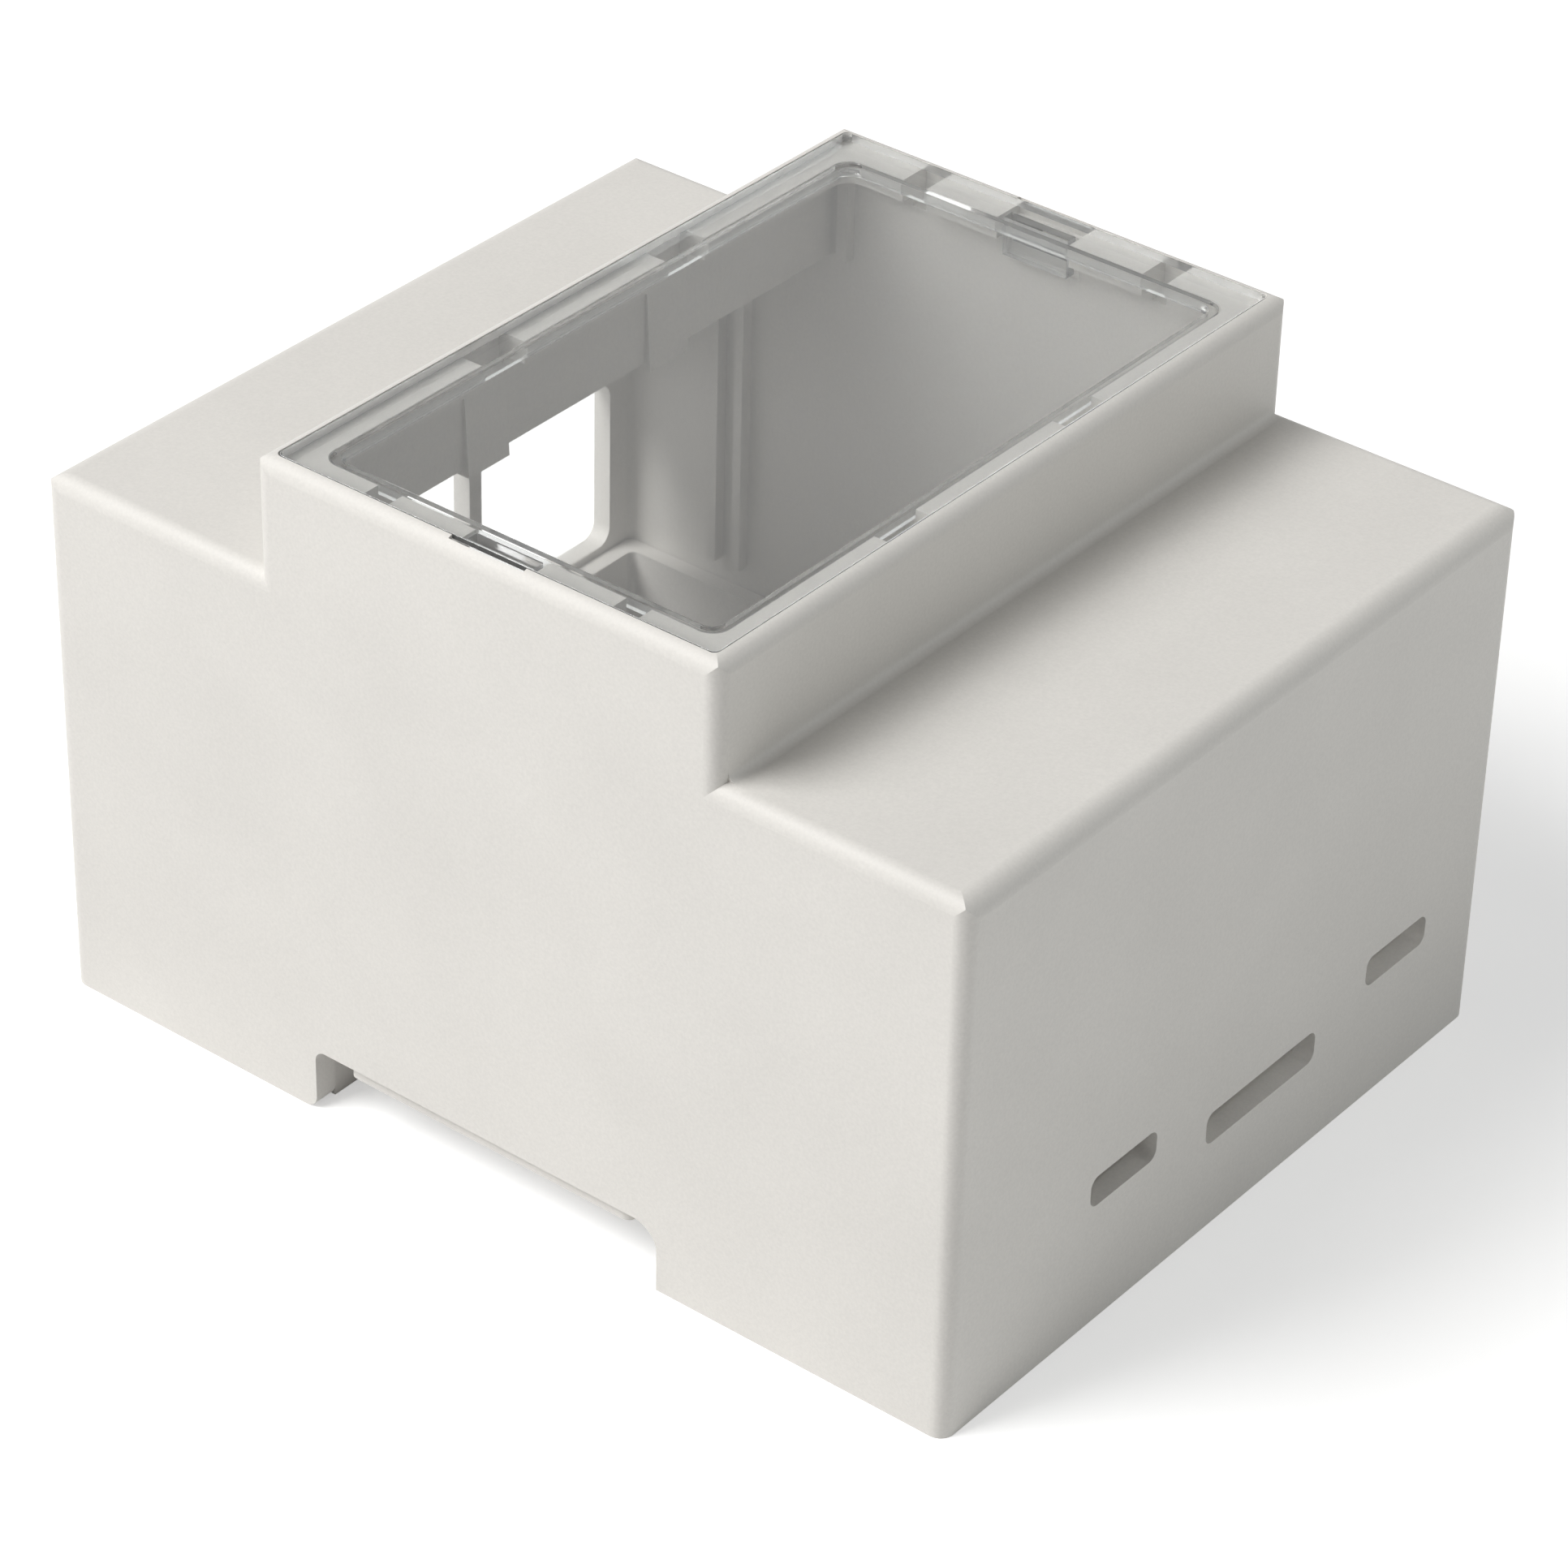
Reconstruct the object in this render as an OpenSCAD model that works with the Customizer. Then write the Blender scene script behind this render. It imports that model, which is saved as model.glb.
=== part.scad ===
// DIN rail enclosure, four modules long, with a raised middle under a clear window lid,
// a snap-in base that carries a circuit board, and two sliding rail clips.
// X runs across the rail, Y along it and Z away from it.
// The origin is at the middle of the underside.

/* [Housing] */
// Depth across the rail
body_x = 90; // [88:0.5:100]
// Length along the rail
body_y = 71; // [70:0.5:88]
// Height of the raised middle
body_z = 59; // [57:0.5:64]
// Height of the two shoulders
shoulder_z = 48.6; // [44:0.2:50]
// Width of the raised middle
riser_x = 44.8; // [44:0.2:48]
// Thickness of the walls across the rail
side_wall = 1.8; // [1.4:0.1:2.2]
// Thickness of the end walls
end_wall = 2.2; // [1.9:0.1:2.6]
// Thickness of the shoulders
top_wall = 1.5; // [1.2:0.1:2.2]
// Rounding of the upright corners and of the edges of the end faces
edge_r = 1.3; // [0.8:0.1:1.8]
// Rounding of the long edges of the shoulders
shoulder_r = 1.7; // [0.8:0.1:2.2]
// Fillet where the raised middle meets the shoulders
step_fillet = 0.8; // [0.4:0.1:1.2]

/* [Window] */
// Thickness of the window lid
lid_t = 1.8; // [1.4:0.1:2.2]
// Width of the rim beside the lid
rim_x = 1.2; // [1:0.1:1.6]
// Width of the rim at the two ends of the lid
rim_y = 1.1; // [1:0.1:1.6]
// Gap around the lid
lid_gap = 0.1; // [0.05:0.05:0.3]
// Width of the ledge under the long edges of the lid
ledge_x = 2.1; // [1.6:0.1:2.6]
// Width of the ledge under the ends of the lid
ledge_y = 2.6; // [2.2:0.1:3]
// Thickness of the ledge
ledge_t = 2; // [1.4:0.1:2.4]
// Length of the four notches in the long ledges
notch_len = 5; // [3:0.5:8]
// Distance of those notches from the middle
notch_y = 11; // [8:0.5:14]
// Length of the four small notches in the end ledges
end_notch_len = 2.4; // [1.6:0.2:4]
// Distance of the small notches from the middle
end_notch_x = 12; // [9:0.5:15]
// Depth of the pockets that the notches leave in the rim
pocket_depth = 0.5; // [0.3:0.1:0.6]
// Width of the two latches of the lid
latch_w = 6.4; // [4:0.2:9]
// Thickness of a latch
latch_t = 1.1; // [0.8:0.1:1.3]
// Reach of a latch below the top of the lid
latch_drop = 5.2; // [4.6:0.1:7]
// Height of the rib under the lid
lid_rib_h = 0.9; // [0.5:0.1:1.4]
// Thickness of the rib under the lid
lid_rib_t = 0.7; // [0.5:0.1:1.2]

/* [Rail] */
// Width of the mounting rail
rail_w = 35; // [35:0.1:35.4]
// Thickness of the rail's flanges
rail_t = 1; // [0.8:0.1:1.2]
// Height of the seat that the rail lies against
seat_z = 4.8; // [4.6:0.1:5.4]
// Height of the notches in the end walls
rail_notch_z = 5.9; // [5.7:0.1:6.6]
// Shift of the rail's middle line towards the rail clips
rail_shift = 0.3; // [0:0.1:0.5]
// Width of the seat
seat_w = 29; // [26:0.5:30]

/* [Board] */
// Distance of the board's middle line from the middle of the housing
board_y = 4.7; // [3:0.1:6]
// Height of the underside of the board
board_z = 10.8; // [10.6:0.1:12]
// Spacing of the board's screws across the rail
board_dx = 58; // [54:0.5:60]
// Spacing of the board's screws along the rail
board_dy = 49; // [46:0.5:50]
// Distance of the outer screws from the inside of the slotted wall
board_edge = 4.2; // [4:0.1:6]
// Radius of the screw holes in the bosses
pilot_r = 1.1; // [0.9:0.05:1.3]
// Depth of the screw holes
pilot_depth = 4; // [3:0.1:4.2]
// Radius of the bosses
boss_r = 2.9; // [2.4:0.1:3.4]

/* [Ports and slots] */
// Width of the network port
net_w = 17; // [15:0.5:17.4]
// Height of the network port
net_h = 16.3; // [14:0.1:18]
// Distance of the network port from the board's middle line
net_y = 17.3; // [17:0.1:18]
// Width of each of the two data ports
usb_w = 15.5; // [13:0.5:16]
// Height of the data ports
usb_h = 18; // [16:0.5:19]
// Distance of the inner data port from the board's middle line
usb_1_y = -0.5; // [-1.2:0.1:0]
// Distance of the outer data port from the board's middle line
usb_2_y = -18.9; // [-19.5:0.1:-18]
// Depth of the ports below the top of the base
port_drop = 0.5; // [-0.5:0.1:0.5]
// Rounding of the port corners
port_r = 1.5; // [0.5:0.1:2.5]
// Length of the card slot
card_w = 14.8; // [12:0.1:17]
// Height of the card slot
card_h = 3; // [2:0.1:3.4]
// Length of the two small slots
slot_w = 8.5; // [6:0.1:10]
// Height of the two small slots
slot_h = 2.8; // [2:0.1:3.4]
// Distance of the small slots from the board's middle line
slot_y = 18.5; // [16:0.1:19]
// Rounding of the slot corners
slot_r = 0.9; // [0.3:0.1:0.9]

/* [Base] */
// Height of the walls of the base
base_z = 10.6; // [9.8:0.1:10.6]
// Thickness of the floor and of the rail channel
base_floor = 1.8; // [1.4:0.1:2]
// Thickness of the walls of the base
base_wall = 1.6; // [1.2:0.1:2]
// Gap between the base and the housing
base_gap = 0.15; // [0.1:0.05:0.3]
// Length of the four snaps that hold the base
snap_w = 8; // [5:0.5:10]
// Distance of the snaps from the middle
snap_x = 30; // [27:0.5:32]
// Reach of the snaps
snap_out = 0.5; // [0.3:0.1:0.7]

/* [Rail clips] */
// Distance of the rail clips from the middle
clip_y = 17.75; // [16:0.25:19]
// Width of the tongue of a clip
clip_w = 9; // [7:0.2:10]
// Thickness of a clip
clip_t = 3.4; // [3:0.1:3.5]
// Travel of a clip
clip_travel = 3; // [2:0.1:3.5]
// Grip of the clips and hooks behind the rail's edge
rail_grip = 1.6; // [1.2:0.1:2]
// Thickness of the spring arms
arm_t = 1.2; // [0.8:0.1:1.4]
// Length of the spring arms
arm_len = 13; // [10:0.5:14]
// Running gap of the clips
clip_gap = 0.2; // [0.15:0.05:0.3]

/* [Hidden] */
$fn = 48;
cut = 1;

// Inside of the housing
in_x = body_x / 2 - side_wall;
in_y = body_y / 2 - end_wall;
in_z = shoulder_z - top_wall;
inner_r = 0.8;

// Window recess, ledge and opening
recess_x = riser_x / 2 - rim_x;
recess_y = body_y / 2 - rim_y;
ledge_top = body_z - lid_t;
ledge_bottom = ledge_top - ledge_t;
open_x = recess_x - ledge_x;
open_y = recess_y - ledge_y;
recess_r = 0.6;
open_r = 1.6;
pocket_top = body_z - 0.6;
latch_gap = 0.4;
latch_front = open_y + 0.3;
finger_depth = 0.4;
finger_z = ledge_top - 0.8;

// Ribs and pads inside the housing
guide_x = 31.6;
guide_slot = 1.8;
guide_rib = 0.9;
guide_out = 1.2;
guide_z = 12.8;
corner_rib = 1.1;
corner_rib_gap = 0.9;
pad_top_out = 0.15;
pad_out = 0.6;
pad_drop = 0.6;
pad_w = notch_len - 0.2;

// Rail notch and channel
notch_left = -rail_w / 2 - 0.1 - rail_shift;
notch_right = rail_w / 2 + 0.1 - rail_shift;
lead_r = 1.2;
notch_r_left = 1;
notch_r_right = 2.3;
channel_left = notch_left - 0.2;
channel_right = notch_right + 0.2;
seat_end_gap = 0.4;
seat_lip_gap = 0.05;
grip_left = -rail_w / 2 - rail_shift + rail_grip;
grip_right = rail_w / 2 - rail_shift - rail_grip;
grip_top = seat_z - rail_t - 0.2;
hook_len = 13;

// Board screws
screw_right = in_x - board_edge;
screw_left = screw_right - board_dx;

// Ports and slots
port_z = base_z + port_drop + 0.2;
card_z = board_z - card_h / 2 + 0.5;
slot_z = board_z + 2;
card_relief = 1.2;

// Base
base_x = 2 * (in_x - base_gap);
base_y = 2 * (in_y - base_gap);
snap_h = 1.4;
snap_z = 7.5;
snap_slack = 0.3;
tunnel_wall = 1.4;

// Rail clips
clip_bottom = 0.2;
lip_z = 1.2;
clip_top = clip_bottom + clip_t;
tunnel_top = clip_top + clip_gap + 0.1;
arm_slot = 0.7;
arm_outer = clip_w / 2 + arm_slot + arm_t;
tunnel_half = arm_outer + clip_gap;
arm_root = 3;
clip_shoulder = channel_left - clip_travel - 1;
bump_r = 0.9;
bump_x = clip_shoulder - arm_root - arm_len + bump_r;
clip_tail = -body_x / 2 + 0.2;
tail_top = clip_top - 0.4;
driver_slot = [1.6, 5];

SHELL = [0.86, 0.85, 0.83];
BASE = [0.82, 0.81, 0.79];
CLEAR = [0.85, 0.9, 0.9, 0.35];
CLIP = [0.78, 0.77, 0.75];

// Rectangle about the origin with rounded corners
module round_rect(x, y, r) {
    square([x - 2 * r, y], center = true);
    square([x, y - 2 * r], center = true);
    for (sx = [-1, 1], sy = [-1, 1])
        translate([sx * (x / 2 - r), sy * (y / 2 - r)])
            circle(r);
}

// Upright rectangle on the first axis, with its two top corners rounded
module round_top(x, z, r) {
    translate([-x / 2, 0])
        square([x, z - r]);
    translate([-x / 2 + r, 0])
        square([x - 2 * r, z]);
    for (s = [-1, 1])
        translate([s * (x / 2 - r), z - r])
            circle(r);
}

// Block on the underside with rounded upright corners and rounded top edges
module round_block(x, y, z, upright_r, long_r, end_r) {
    intersection() {
        linear_extrude(z)
            round_rect(x, y, upright_r);
        rotate([90, 0, 0])
            linear_extrude(y, center = true)
                round_top(x, z, long_r);
        rotate([90, 0, 90])
            linear_extrude(x, center = true)
                round_top(y, z, end_r);
    }
}

// Box between two corners
module box(low, high) {
    translate(low)
        cube(high - low);
}

// Rounded hole through a side wall, centred on the given point
module side_hole(x, y, z, w, h, r) {
    translate([x, y, z])
        rotate([90, 0, 90])
            linear_extrude(2 * side_wall + 2 * cut, center = true)
                round_rect(w, h, r);
}

// Concave fillet along the foot of the raised middle
module foot_fillet() {
    for (s = [0, 1])
        mirror([s, 0, 0])
            translate([riser_x / 2, 0, shoulder_z])
                rotate([90, 0, 0])
                    linear_extrude(body_y - 2 * edge_r, center = true)
                        difference() {
                            translate([-step_fillet, -step_fillet])
                                square(2 * step_fillet);
                            translate([step_fillet, step_fillet])
                                circle(step_fillet);
                        }
}

module outer_form() {
    round_block(body_x, body_y, shoulder_z, edge_r, shoulder_r, edge_r);
    round_block(riser_x, body_y, body_z, edge_r, edge_r, edge_r);
    foot_fillet();
}

// Space inside the shoulders and the raised middle
module inner_form() {
    translate([0, 0, -cut])
        linear_extrude(in_z + cut)
            round_rect(2 * in_x, 2 * in_y, inner_r);
    linear_extrude(ledge_bottom)
        round_rect(2 * recess_x, 2 * in_y, inner_r);
}

// Recess for the lid, opening through the ledge, and the notches in the ledge
module window_cuts() {
    translate([0, 0, ledge_top])
        linear_extrude(lid_t + cut)
            round_rect(2 * recess_x, 2 * recess_y, recess_r);
    translate([0, 0, ledge_bottom - cut])
        linear_extrude(ledge_t + 2 * cut)
            round_rect(2 * open_x, 2 * open_y, open_r);
    for (sx = [-1, 1], sy = [-1, 1]) {
        x_mid = sx * (open_x + recess_x + pocket_depth) / 2;
        x_len = ledge_x + pocket_depth;
        translate([x_mid, sy * notch_y, ledge_bottom - cut])
            linear_extrude(pocket_top - ledge_bottom + cut)
                square([x_len, notch_len], center = true);
        y_mid = sy * (open_y + recess_y + pocket_depth) / 2;
        y_len = ledge_y + pocket_depth;
        translate([sx * end_notch_x, y_mid, ledge_bottom - cut])
            linear_extrude(pocket_top - ledge_bottom + cut)
                square([end_notch_len, y_len], center = true);
    }
    for (s = [0, 1])
        mirror([0, s, 0])
            latch_cut();
}

// Passage of a latch through the ledge, with a finger notch in the rim above it
module latch_cut() {
    half = latch_w / 2 + latch_gap;
    box([-half, open_y - cut, body_z - latch_drop - latch_gap], [half, recess_y, body_z + cut]);
    box([-half, recess_y - cut, finger_z], [half, recess_y + finger_depth, body_z + cut]);
}

// Outline of the notch that the rail passes through, in X and Z
module rail_notch() {
    translate([notch_left, -cut])
        square([notch_right - notch_left, rail_notch_z + cut - notch_r_right]);
    translate([notch_left + notch_r_left, 0])
        square([notch_right - notch_left - notch_r_left - notch_r_right, rail_notch_z]);
    translate([notch_left, 0])
        square([rail_w / 2, rail_notch_z - notch_r_left]);
    translate([notch_left + notch_r_left, rail_notch_z - notch_r_left])
        circle(notch_r_left);
    translate([notch_right - notch_r_right, rail_notch_z - notch_r_right])
        circle(notch_r_right);
    difference() {
        translate([notch_left - lead_r, -cut])
            square([lead_r + cut, lead_r + cut]);
        translate([notch_left - lead_r, lead_r])
            circle(lead_r);
    }
}

// Openings for the board's sockets, its card and its lamps
module wall_openings() {
    side_hole(-body_x / 2, board_y + net_y, port_z + net_h / 2, net_w, net_h, port_r);
    for (y = [usb_1_y, usb_2_y])
        side_hole(-body_x / 2, board_y + y, port_z + usb_h / 2, usb_w, usb_h, port_r);
    side_hole(body_x / 2, board_y, card_z, card_w, card_h, slot_r);
    for (s = [-1, 1])
        side_hole(body_x / 2, board_y + s * slot_y, slot_z, slot_w, slot_h, slot_r);
    for (s = [-1, 1])
        box([-body_x / 2 - cut, s * clip_y - clip_w / 2 - 2 * clip_gap, -cut],
            [-in_x + cut, s * clip_y + clip_w / 2 + 2 * clip_gap, tunnel_top]);
}

// Pockets in the end walls that the base snaps into
module snap_pockets() {
    for (sx = [-1, 1], sy = [-1, 1])
        translate([sx * snap_x, sy * in_y, snap_z])
            cube([snap_w + 2 * snap_slack, 2 * snap_out, snap_h + 2 * snap_slack], center = true);
}

// Slotted guides for an upright board, and the ribs in the corners of the raised middle
module guide_ribs() {
    for (sx = [-1, 1], sy = [-1, 1]) {
        for (side = [-1, 1])
            translate([sx * guide_x + side * (guide_slot + guide_rib) / 2, sy * (in_y - guide_out / 2 + cut / 2),
                       (guide_z + in_z + cut / 2) / 2])
                cube([guide_rib, guide_out + cut, in_z + cut / 2 - guide_z], center = true);
        translate([sx * (recess_x - corner_rib_gap - corner_rib / 2), sy * (in_y - 0.5 + cut / 2),
                   (in_z + ledge_bottom + cut / 2) / 2])
            cube([corner_rib, 1 + cut, ledge_bottom + cut / 2 - in_z], center = true);
    }
}

// Tapered pads on the inside of the raised middle, under the notches of the long ledges
module riser_pads() {
    for (s = [0, 1], sy = [-1, 1])
        mirror([s, 0, 0])
            translate([0, sy * notch_y, 0])
                rotate([90, 0, 0])
                    linear_extrude(pad_w, center = true)
                        polygon([
                            [recess_x + rim_x / 2, ledge_bottom - 1],
                            [recess_x - pad_top_out, ledge_bottom - 1],
                            [recess_x - pad_out, in_z - pad_drop],
                            [recess_x + rim_x / 2, in_z - pad_drop]
                        ]);
}

module housing() {
    color(SHELL)
        union() {
            difference() {
                outer_form();
                inner_form();
                window_cuts();
                rotate([90, 0, 0])
                    linear_extrude(body_y + 2 * cut, center = true)
                        rail_notch();
                wall_openings();
                snap_pockets();
            }
            guide_ribs();
            riser_pads();
        }
}

// Screw bosses for the circuit board
module bosses() {
    for (x = [screw_left, screw_right], s = [-1, 1])
        translate([x, board_y + s * board_dy / 2, 0])
            cylinder(r = boss_r, h = board_z);
}

module boss_holes() {
    for (x = [screw_left, screw_right], s = [-1, 1])
        translate([x, board_y + s * board_dy / 2, board_z - pilot_depth])
            cylinder(r = pilot_r, h = pilot_depth + cut);
}

// Walls around the passage of a rail clip
module clip_tunnel() {
    box([-base_x / 2, -tunnel_half - tunnel_wall, 0],
        [channel_left, tunnel_half + tunnel_wall, tunnel_top + tunnel_wall]);
}

// Passage of a rail clip: a wide way above two lips, with side slots for the arms' bumps
module clip_passage() {
    half = clip_w / 2 + clip_gap;
    box([-base_x / 2 + base_wall, -tunnel_half, lip_z], [channel_left + cut, tunnel_half, tunnel_top]);
    box([-base_x / 2 - cut, -half, -cut], [channel_left + cut, half, tunnel_top]);
    box([bump_x - bump_r - clip_travel - clip_gap, -tunnel_half - tunnel_wall - cut, lip_z],
        [bump_x + bump_r + clip_gap, tunnel_half + tunnel_wall + cut, tunnel_top]);
}

// Fixed hook that holds the rail's other flange
module rail_hook() {
    rotate([90, 0, 0])
        linear_extrude(hook_len, center = true)
            polygon([
                [channel_right + base_floor / 2, 0.6],
                [channel_right - 0.4, 0.6],
                [grip_right, grip_top - 1.2],
                [grip_right, grip_top],
                [channel_right + base_floor / 2, grip_top]
            ]);
}

// Seat that the rail lies against, which fills the top of the notches in the end walls
module rail_seat() {
    translate([-rail_shift / 2, 0, seat_z])
        linear_extrude(rail_notch_z - seat_z - seat_lip_gap)
            round_rect(seat_w, body_y - 2 * seat_end_gap, inner_r);
    box([-rail_shift / 2 - seat_w / 2, -base_y / 2, rail_notch_z - cut / 2],
        [-rail_shift / 2 + seat_w / 2, base_y / 2, rail_notch_z + cut / 2]);
}

module base_tray() {
    difference() {
        linear_extrude(base_z)
            round_rect(base_x, base_y, inner_r);
        translate([0, 0, base_floor])
            linear_extrude(base_z)
                round_rect(base_x - 2 * base_wall, base_y - 2 * base_wall, inner_r);
    }
    box([channel_left - base_floor, -base_y / 2, 0], [channel_right + base_floor, base_y / 2, rail_notch_z + base_floor]);
    for (sx = [-1, 1], sy = [-1, 1])
        translate([sx * snap_x, sy * (base_y / 2), snap_z])
            cube([snap_w, 2 * snap_out - 2 * base_gap, snap_h], center = true);
}

module base() {
    color(BASE)
        union() {
            difference() {
                union() {
                    base_tray();
                    bosses();
                    for (s = [-1, 1])
                        translate([0, s * clip_y, 0])
                            clip_tunnel();
                }
                box([channel_left, -body_y, -cut], [channel_right, body_y, rail_notch_z]);
                for (s = [-1, 1])
                    translate([0, s * clip_y, 0])
                        clip_passage();
                boss_holes();
                box([base_x / 2 - 2 * base_wall, board_y - card_w / 2 - card_relief, card_z - card_h / 2 - card_relief],
                    [base_x / 2 + cut, board_y + card_w / 2 + card_relief, base_z + cut]);
            }
            rail_seat();
            for (s = [-1, 1])
                translate([0, s * clip_y, 0])
                    rail_hook();
        }
}

// Latch that hangs from one end of the lid
module latch() {
    box([-latch_w / 2, latch_front, body_z - latch_drop], [latch_w / 2, latch_front + latch_t, ledge_top + lid_t / 2]);
    translate([0, latch_front + latch_t, body_z - latch_drop + 1.6])
        rotate([0, 90, 0])
            cylinder(r = 0.4, h = latch_w - 0.8, center = true);
}

module window_lid() {
    lid_x = 2 * (recess_x - lid_gap);
    lid_y = 2 * (recess_y - lid_gap);
    rib_x = 2 * (open_x - lid_gap);
    rib_y = 2 * (open_y - lid_gap);
    color(CLEAR)
        union() {
            translate([0, 0, ledge_top])
                linear_extrude(lid_t)
                    round_rect(lid_x, lid_y, recess_r);
            translate([0, 0, ledge_top - lid_rib_h])
                linear_extrude(lid_rib_h + lid_t / 2)
                    difference() {
                        round_rect(rib_x, rib_y, open_r);
                        round_rect(rib_x - 2 * lid_rib_t, rib_y - 2 * lid_rib_t, open_r - lid_rib_t / 2);
                    }
            for (s = [0, 1])
                mirror([0, s, 0])
                    latch();
        }
}

// Rail clip: a tongue with a bevelled tip, two spring arms and a driver slot in its tail
module rail_clip() {
    color(CLIP)
        difference() {
            union() {
                rotate([90, 0, 0])
                    linear_extrude(clip_w, center = true)
                        polygon([
                            [clip_tail, clip_bottom],
                            [grip_left - 1.4, clip_bottom],
                            [grip_left, clip_bottom + 1.6],
                            [grip_left, clip_top],
                            [-in_x + 2, clip_top],
                            [-in_x + 1, tail_top],
                            [clip_tail, tail_top]
                        ]);
                box([clip_shoulder - arm_root, -arm_outer, lip_z + clip_gap], [clip_shoulder, arm_outer, clip_top]);
                for (s = [0, 1])
                    mirror([0, s, 0]) {
                        box([clip_shoulder - arm_root - arm_len, arm_outer - arm_t, lip_z + clip_gap],
                            [clip_shoulder, arm_outer, clip_top]);
                        translate([bump_x, arm_outer - 0.2, lip_z + clip_gap])
                            cylinder(r = bump_r, h = clip_top - lip_z - clip_gap);
                    }
            }
            translate([clip_tail + 1.2, -driver_slot.y / 2, -cut])
                cube([driver_slot.x, driver_slot.y, clip_top + 2 * cut]);
        }
}

module rail_clip_1() {
    translate([0, -clip_y, 0])
        rail_clip();
}

module rail_clip_2() {
    translate([0, clip_y, 0])
        rail_clip();
}

housing();
base();
window_lid();
rail_clip_1();
rail_clip_2();
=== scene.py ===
"""Looks of the DIN rail enclosure: moulded plastic shells, a clear window lid, and a plain pale studio."""

import math

import bpy
from mathutils import Matrix, Vector

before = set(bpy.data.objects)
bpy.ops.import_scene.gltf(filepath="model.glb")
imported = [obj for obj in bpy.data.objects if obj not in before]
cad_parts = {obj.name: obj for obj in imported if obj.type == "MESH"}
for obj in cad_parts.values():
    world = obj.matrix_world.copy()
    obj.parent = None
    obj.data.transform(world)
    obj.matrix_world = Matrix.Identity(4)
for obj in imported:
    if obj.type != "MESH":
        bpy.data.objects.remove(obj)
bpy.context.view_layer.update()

# Lengths are in metres and colours are linear
MM = 0.001
WHITE = (1.0, 1.0, 1.0, 1.0)

# Camera: a long lens that looks down on the near end and the slotted side
LENS_MM = 127.8
SENSOR_MM = 36.0
AZIMUTH_DEG = 37.877
ELEVATION_DEG = 34.03
ROLL_DEG = 1.505
AIM = Vector((0.00323, -0.00307, 0.02398))
DISTANCE = 0.4416
NEAREST_SEEN = 0.01
FURTHEST_SEEN = 20.0

# Moulded plastic: broad clouds change its shade a little, and a fine grain its shade, gloss and relief
SHELL_COLOR = (0.755, 0.735, 0.700)
BASE_COLOR = (0.730, 0.710, 0.676)
CLIP_COLOR = (0.700, 0.684, 0.652)
MOULDED_IOR = 1.53
MOULDED_SPECULAR = 0.38
MOULDED_ROUGHNESS = (0.46, 0.60)
CLOUD_SIZE = 14 * MM
CLOUD_DARK = 0.975
CLOUD_LIGHT = 1.02
GRAIN_SIZE = 0.28 * MM
GRAIN_SHADE = (0.93, 1.0)
GRAIN_RELIEF = 0.35
GRAIN_DEPTH = 0.03 * MM

# Part of the range of a noise texture that most of its values lie in
NOISE_RANGE = (0.3, 0.7)

# Clear plastic: its upright edges are slightly less clear than its flat faces. EDGE_TO_FACE is the stretch
# of upward_share in which the one turns into the other
LID_COLOR = (0.930, 0.938, 0.932, 1.0)
LID_IOR = 1.49
LID_ROUGHNESS = (0.0, 0.03)
HAZE_SIZE = 6 * MM
EDGE_TO_FACE = (0.2, 0.8)
EDGE_TO_FACE_CLEARNESS = (0.85, 1.0)
LAMP_LIGHT_LET_THROUGH = (0.27, 0.27, 0.27, 1.0)

# Form of the lid's edges, and the hair of air round it
SAME_POINT = 0.001 * MM
EDGE_ROUNDING = 0.12 * MM
EDGE_STEPS = 2
SHARP_EDGE_DEG = 40
AIR_GAP = 0.03 * MM

# Studio: FLOOR_LIFT and WORLD_SEEN are strengths that only the camera, clear plastic and gloss see
FLOOR_SIZE = 4.0
FLOOR_COLOR = (0.88, 0.88, 0.88, 1.0)
FLOOR_ROUGHNESS = 0.9
FLOOR_SPECULAR = 0.1
FLOOR_LIFT = 0.42
WORLD_LIGHT = 0.22
WORLD_SEEN = 1.0
LAMP_SIZE = 0.6
LAMP_AIM = Vector((0, 0, 0.03))

# The diffuse depth counts bounces in whole numbers, so that less than this is none
FIRST_BOUNCE = 0.5


def add_object(name, data):
    """Puts a new object into the scene."""
    obj = bpy.data.objects.new(name, data)
    bpy.context.scene.collection.objects.link(obj)
    return obj


def aim_at(obj, place, target, roll=0.0):
    """Puts an object at a place, looking at a target along its -Z axis."""
    turn = (target - place).to_track_quat("-Z", "Y").to_matrix().to_4x4()
    obj.matrix_world = Matrix.Translation(place) @ turn @ Matrix.Rotation(roll, 4, "Z")


def make_camera():
    """The camera, at the photo's angle."""
    azimuth = math.radians(AZIMUTH_DEG)
    elevation = math.radians(ELEVATION_DEG)
    towards = Vector((
        math.sin(azimuth) * math.cos(elevation),
        -math.cos(azimuth) * math.cos(elevation),
        math.sin(elevation),
    ))
    data = bpy.data.cameras.new("camera")
    data.lens = LENS_MM
    data.sensor_width = SENSOR_MM
    data.clip_start = NEAREST_SEEN
    data.clip_end = FURTHEST_SEEN
    camera = add_object("camera", data)
    aim_at(camera, AIM + towards * DISTANCE, AIM, math.radians(ROLL_DEG))
    bpy.context.scene.camera = camera


def new_material(name):
    """A material with a node tree that holds only its output and a Principled shader."""
    material = bpy.data.materials.new(name)
    material.use_nodes = True
    nodes = material.node_tree.nodes
    nodes.clear()
    output = nodes.new("ShaderNodeOutputMaterial")
    shader = nodes.new("ShaderNodeBsdfPrincipled")
    material.node_tree.links.new(shader.outputs["BSDF"], output.inputs["Surface"])
    return material, shader, output


def object_coordinates(tree):
    """The object's own coordinates, so that a pattern moves with its piece."""
    return tree.nodes.new("ShaderNodeTexCoord").outputs["Object"]


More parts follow.
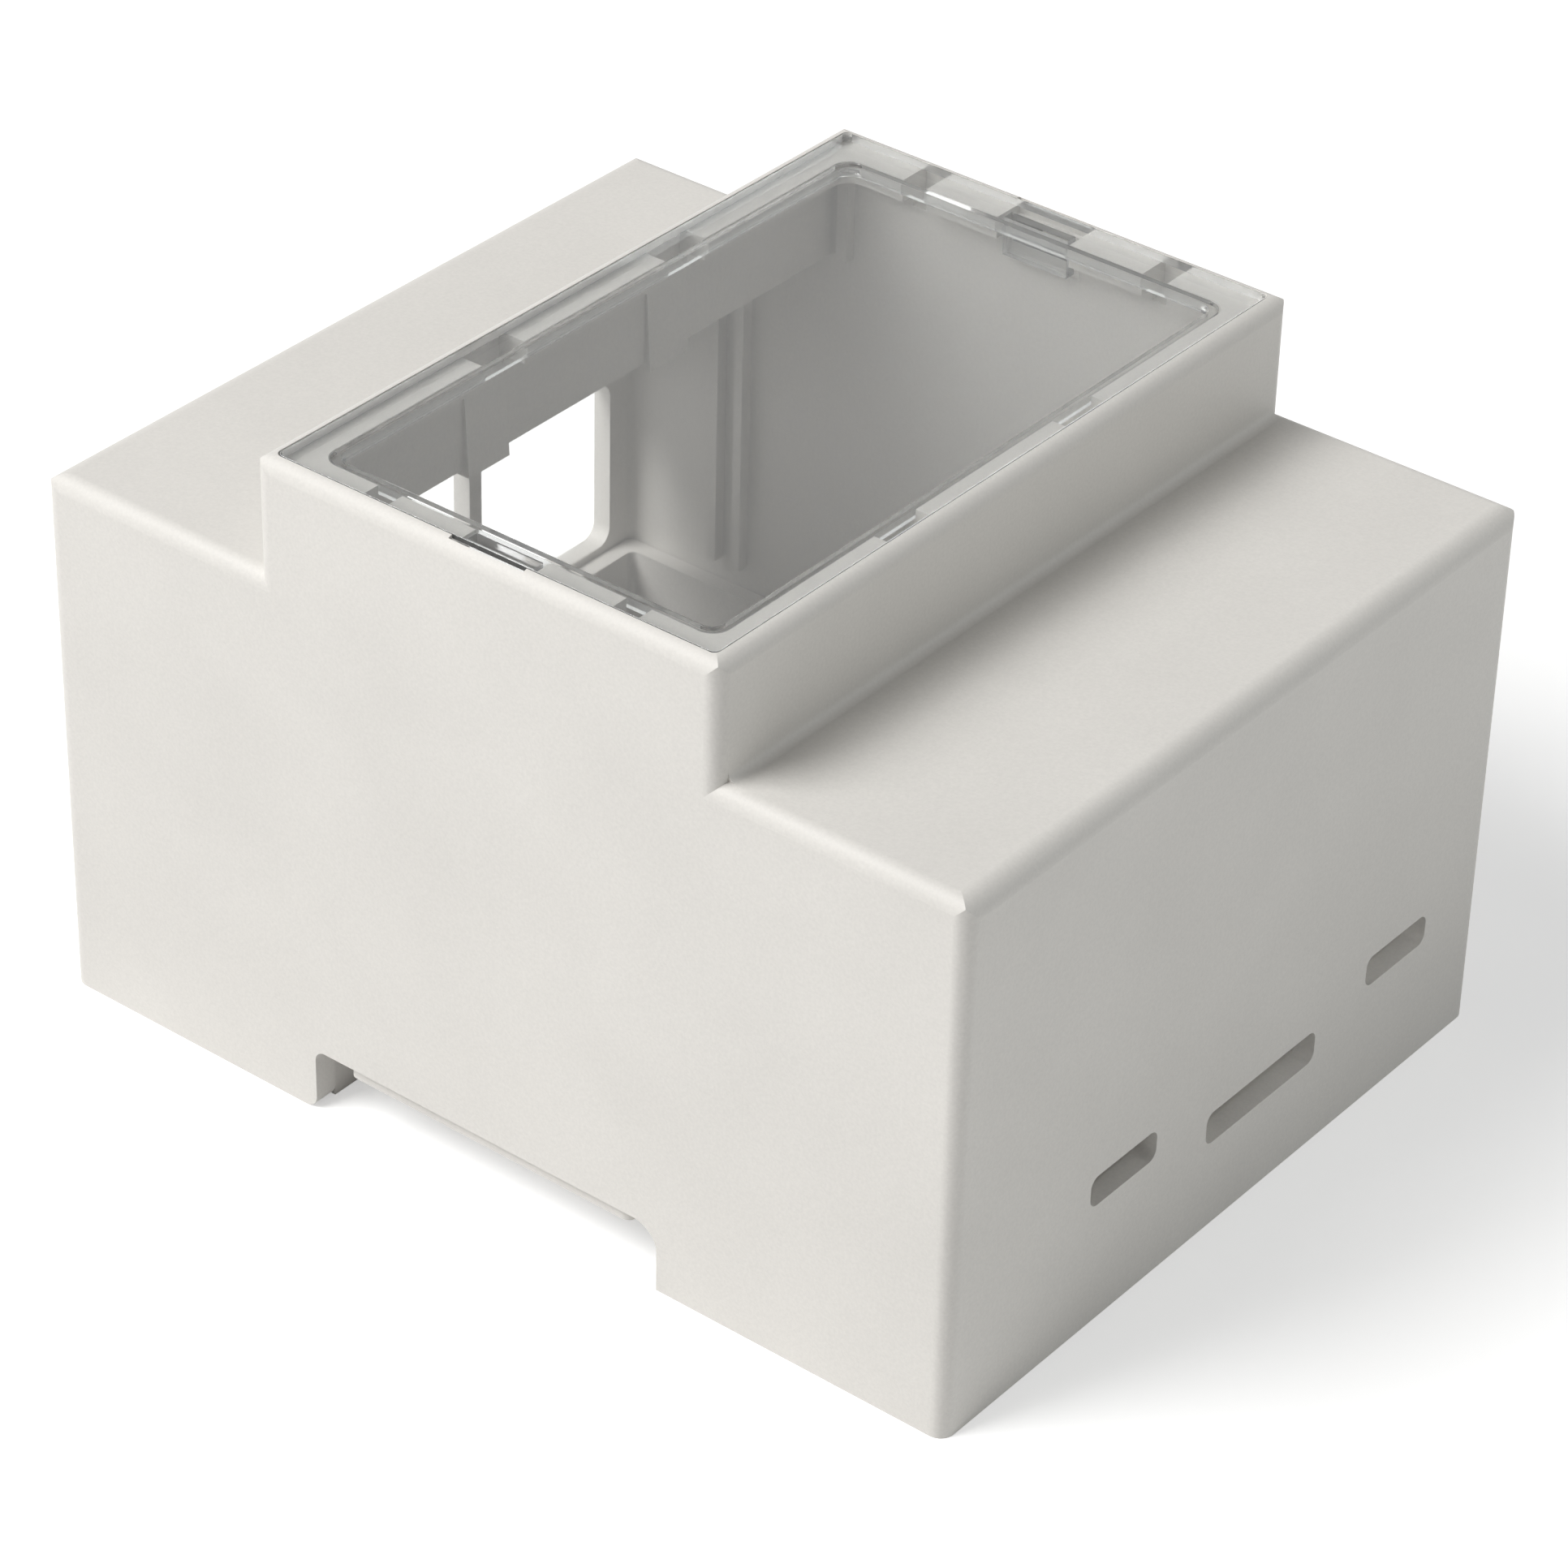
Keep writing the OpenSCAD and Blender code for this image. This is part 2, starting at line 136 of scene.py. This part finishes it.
def noise(tree, coordinates, size, detail=2.0, roughness=0.5):
    """Noise whose grains are about the given size in metres."""
    node = tree.nodes.new("ShaderNodeTexNoise")
    node.inputs["Scale"].default_value = 1.0 / size
    node.inputs["Detail"].default_value = detail
    node.inputs["Roughness"].default_value = roughness
    tree.links.new(coordinates, node.inputs["Vector"])
    return node.outputs["Fac"]


def map_range(tree, value, to_range, from_range=NOISE_RANGE):
    """Turns a value's range into another one, and holds it there at both ends."""
    node = tree.nodes.new("ShaderNodeMapRange")
    node.inputs["From Min"].default_value = from_range[0]
    node.inputs["From Max"].default_value = from_range[1]
    node.inputs["To Min"].default_value = to_range[0]
    node.inputs["To Max"].default_value = to_range[1]
    tree.links.new(value, node.inputs["Value"])
    return node.outputs["Result"]


def calculate(tree, operation, first, second=None):
    """Result of a Math node. The first input is a socket, and the second, if any, a socket or a number."""
    node = tree.nodes.new("ShaderNodeMath")
    node.operation = operation
    tree.links.new(first, node.inputs[0])
    if isinstance(second, float):
        node.inputs[1].default_value = second
    elif second is not None:
        tree.links.new(second, node.inputs[1])
    return node.outputs["Value"]


def color_mix(tree, blend):
    """A Mix node for colours."""
    node = tree.nodes.new("ShaderNodeMix")
    node.data_type = "RGBA"
    node.blend_type = blend
    return node


def shader_mix(tree, factor, first, second):
    """The first shader where the factor is 0, and the second where it is 1."""
    node = tree.nodes.new("ShaderNodeMixShader")
    tree.links.new(factor, node.inputs["Fac"])
    tree.links.new(first, node.inputs[1])
    tree.links.new(second, node.inputs[2])
    return node.outputs["Shader"]


def shade(color, factor):
    """A colour made darker or lighter."""
    return tuple(factor * channel for channel in color) + (1.0,)


def moulded_plastic(name, color):
    """Opaque moulded plastic with the fine spark-eroded grain of its mould."""
    material, shader, _ = new_material(name)
    tree = material.node_tree
    coordinates = object_coordinates(tree)
    grain = noise(tree, coordinates, GRAIN_SIZE, detail=3.0, roughness=0.6)
    cloud = noise(tree, coordinates, CLOUD_SIZE)

    tint = color_mix(tree, "MIX")
    tint.inputs["A"].default_value = shade(color, CLOUD_DARK)
    tint.inputs["B"].default_value = shade(color, CLOUD_LIGHT)
    tree.links.new(map_range(tree, cloud, (0.0, 1.0)), tint.inputs["Factor"])
    speck = color_mix(tree, "MULTIPLY")
    speck.inputs["Factor"].default_value = 1.0
    tree.links.new(tint.outputs["Result"], speck.inputs["A"])
    tree.links.new(map_range(tree, grain, GRAIN_SHADE), speck.inputs["B"])
    tree.links.new(speck.outputs["Result"], shader.inputs["Base Color"])
    tree.links.new(map_range(tree, grain, MOULDED_ROUGHNESS), shader.inputs["Roughness"])
    shader.inputs["IOR"].default_value = MOULDED_IOR
    shader.inputs["Specular IOR Level"].default_value = MOULDED_SPECULAR

    bump = tree.nodes.new("ShaderNodeBump")
    bump.inputs["Strength"].default_value = GRAIN_RELIEF
    bump.inputs["Distance"].default_value = GRAIN_DEPTH
    tree.links.new(grain, bump.inputs["Height"])
    tree.links.new(bump.outputs["Normal"], shader.inputs["Normal"])
    return material


def upward_share(tree):
    """How far a face looks up or down: 1 on a flat face, and 0 on an upright edge."""
    geometry = tree.nodes.new("ShaderNodeNewGeometry")
    normal = tree.nodes.new("ShaderNodeSeparateXYZ")
    tree.links.new(geometry.outputs["Normal"], normal.inputs["Vector"])
    return calculate(tree, "ABSOLUTE", normal.outputs["Z"])


def clear_plastic(name):
    """Polished clear plastic that lets part of the lamps' light through to what it covers."""
    material, shader, output = new_material(name)
    tree = material.node_tree
    shader.inputs["Base Color"].default_value = LID_COLOR
    shader.inputs["IOR"].default_value = LID_IOR
    haze = noise(tree, object_coordinates(tree), HAZE_SIZE, detail=3.0)
    tree.links.new(map_range(tree, haze, LID_ROUGHNESS), shader.inputs["Roughness"])
    clearness = map_range(tree, upward_share(tree), EDGE_TO_FACE_CLEARNESS, EDGE_TO_FACE)
    tree.links.new(clearness, shader.inputs["Transmission Weight"])

    open_way = tree.nodes.new("ShaderNodeBsdfTransparent")
    open_way.inputs["Color"].default_value = LAMP_LIGHT_LET_THROUGH
    shadow_ray = tree.nodes.new("ShaderNodeLightPath").outputs["Is Shadow Ray"]
    surface = shader_mix(tree, shadow_ray, shader.outputs["BSDF"], open_way.outputs["BSDF"])
    tree.links.new(surface, output.inputs["Surface"])
    return material


def dress(node, material):
    """Gives a CAD node its material."""
    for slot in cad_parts[node].material_slots:
        slot.material = material


def dress_nodes():
    """Gives all CAD nodes their materials."""
    shell = moulded_plastic("shell_plastic", SHELL_COLOR)
    tray = moulded_plastic("base_plastic", BASE_COLOR)
    clip = moulded_plastic("clip_plastic", CLIP_COLOR)
    dress("housing", shell)
    dress("base", tray)
    dress("rail_clip_1", clip)
    dress("rail_clip_2", clip)
    dress("window_lid", clear_plastic("lid_plastic"))


def soften_lid():
    """Rounds the edges of the clear lid, and leaves a hair of air between it and what it rests on."""
    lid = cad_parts["window_lid"]
    weld = lid.modifiers.new("weld", "WELD")
    weld.merge_threshold = SAME_POINT
    bevel = lid.modifiers.new("bevel", "BEVEL")
    bevel.width = EDGE_ROUNDING
    bevel.segments = EDGE_STEPS
    bevel.limit_method = "ANGLE"
    bevel.angle_limit = math.radians(SHARP_EDGE_DEG)
    bevel.harden_normals = True
    shrink = lid.modifiers.new("shrink", "DISPLACE")
    shrink.mid_level = 0.0
    shrink.strength = -AIR_GAP


def seen_white(tree):
    """1 for what the camera sees, straight, mirrored or through clear plastic.

    It is 0 for the light on the object, so that a white background doesn't brighten it.
    """
    path = tree.nodes.new("ShaderNodeLightPath").outputs
    straight_or_through = calculate(tree, "MAXIMUM", path["Is Camera Ray"], path["Is Transmission Ray"])
    seen = calculate(tree, "MAXIMUM", straight_or_through, path["Is Glossy Ray"])
    no_bounce = calculate(tree, "LESS_THAN", path["Diffuse Depth"], FIRST_BOUNCE)
    return calculate(tree, "MULTIPLY", seen, no_bounce)


def floor_paper():
    """Pale paper that shows shadows, and is lifted to white where none falls."""
    material, shader, output = new_material("floor_paper")
    tree = material.node_tree
    shader.inputs["Base Color"].default_value = FLOOR_COLOR
    shader.inputs["Roughness"].default_value = FLOOR_ROUGHNESS
    shader.inputs["Specular IOR Level"].default_value = FLOOR_SPECULAR
    lift = tree.nodes.new("ShaderNodeEmission")
    lift.inputs["Color"].default_value = WHITE
    tree.links.new(calculate(tree, "MULTIPLY", seen_white(tree), FLOOR_LIFT), lift.inputs["Strength"])
    both = tree.nodes.new("ShaderNodeAddShader")
    tree.links.new(shader.outputs["BSDF"], both.inputs[0])
    tree.links.new(lift.outputs["Emission"], both.inputs[1])
    tree.links.new(both.outputs["Shader"], output.inputs["Surface"])
    return material


def make_floor():
    """Square floor that the object stands on."""
    data = bpy.data.meshes.new("floor")
    half = FLOOR_SIZE / 2
    corners = [(-half, -half, 0), (half, -half, 0), (half, half, 0), (-half, half, 0)]
    data.from_pydata(corners, [], [(0, 1, 2, 3)])
    data.materials.append(floor_paper())
    add_object("floor", data)


def background(tree, strength):
    """White light from all round."""
    node = tree.nodes.new("ShaderNodeBackground")
    node.inputs["Color"].default_value = WHITE
    node.inputs["Strength"].default_value = strength
    return node.outputs["Background"]


def make_world():
    """Soft even light all round. The camera, clear plastic and gloss see it as plain white."""
    world = bpy.data.worlds.new("studio")
    world.use_nodes = True
    tree = world.node_tree
    tree.nodes.clear()
    output = tree.nodes.new("ShaderNodeOutputWorld")
    surface = shader_mix(tree, seen_white(tree), background(tree, WORLD_LIGHT), background(tree, WORLD_SEEN))
    tree.links.new(surface, output.inputs["Surface"])
    bpy.context.scene.world = world


def area_light(name, place, watts, color):
    """Square lamp that shines on the object."""
    data = bpy.data.lights.new(name, "AREA")
    data.color = color
    data.shape = "SQUARE"
    data.size = LAMP_SIZE
    data.energy = watts
    aim_at(add_object(name, data), Vector(place), LAMP_AIM)


def make_lights():
    """A warm key lamp high on the camera's left, and a weak cool one low on its right."""
    area_light("key", place=(-0.42, -0.60, 0.86), watts=11.6, color=(1.0, 0.995, 0.985))
    area_light("fill", place=(0.8, 0.62, 0.30), watts=1.9, color=(0.96, 1.0, 0.99))


def set_view():
    """Plain colours, without a film look."""
    bpy.context.scene.view_settings.view_transform = "Standard"


make_camera()
make_world()
make_floor()
make_lights()
dress_nodes()
soften_lid()
set_view()
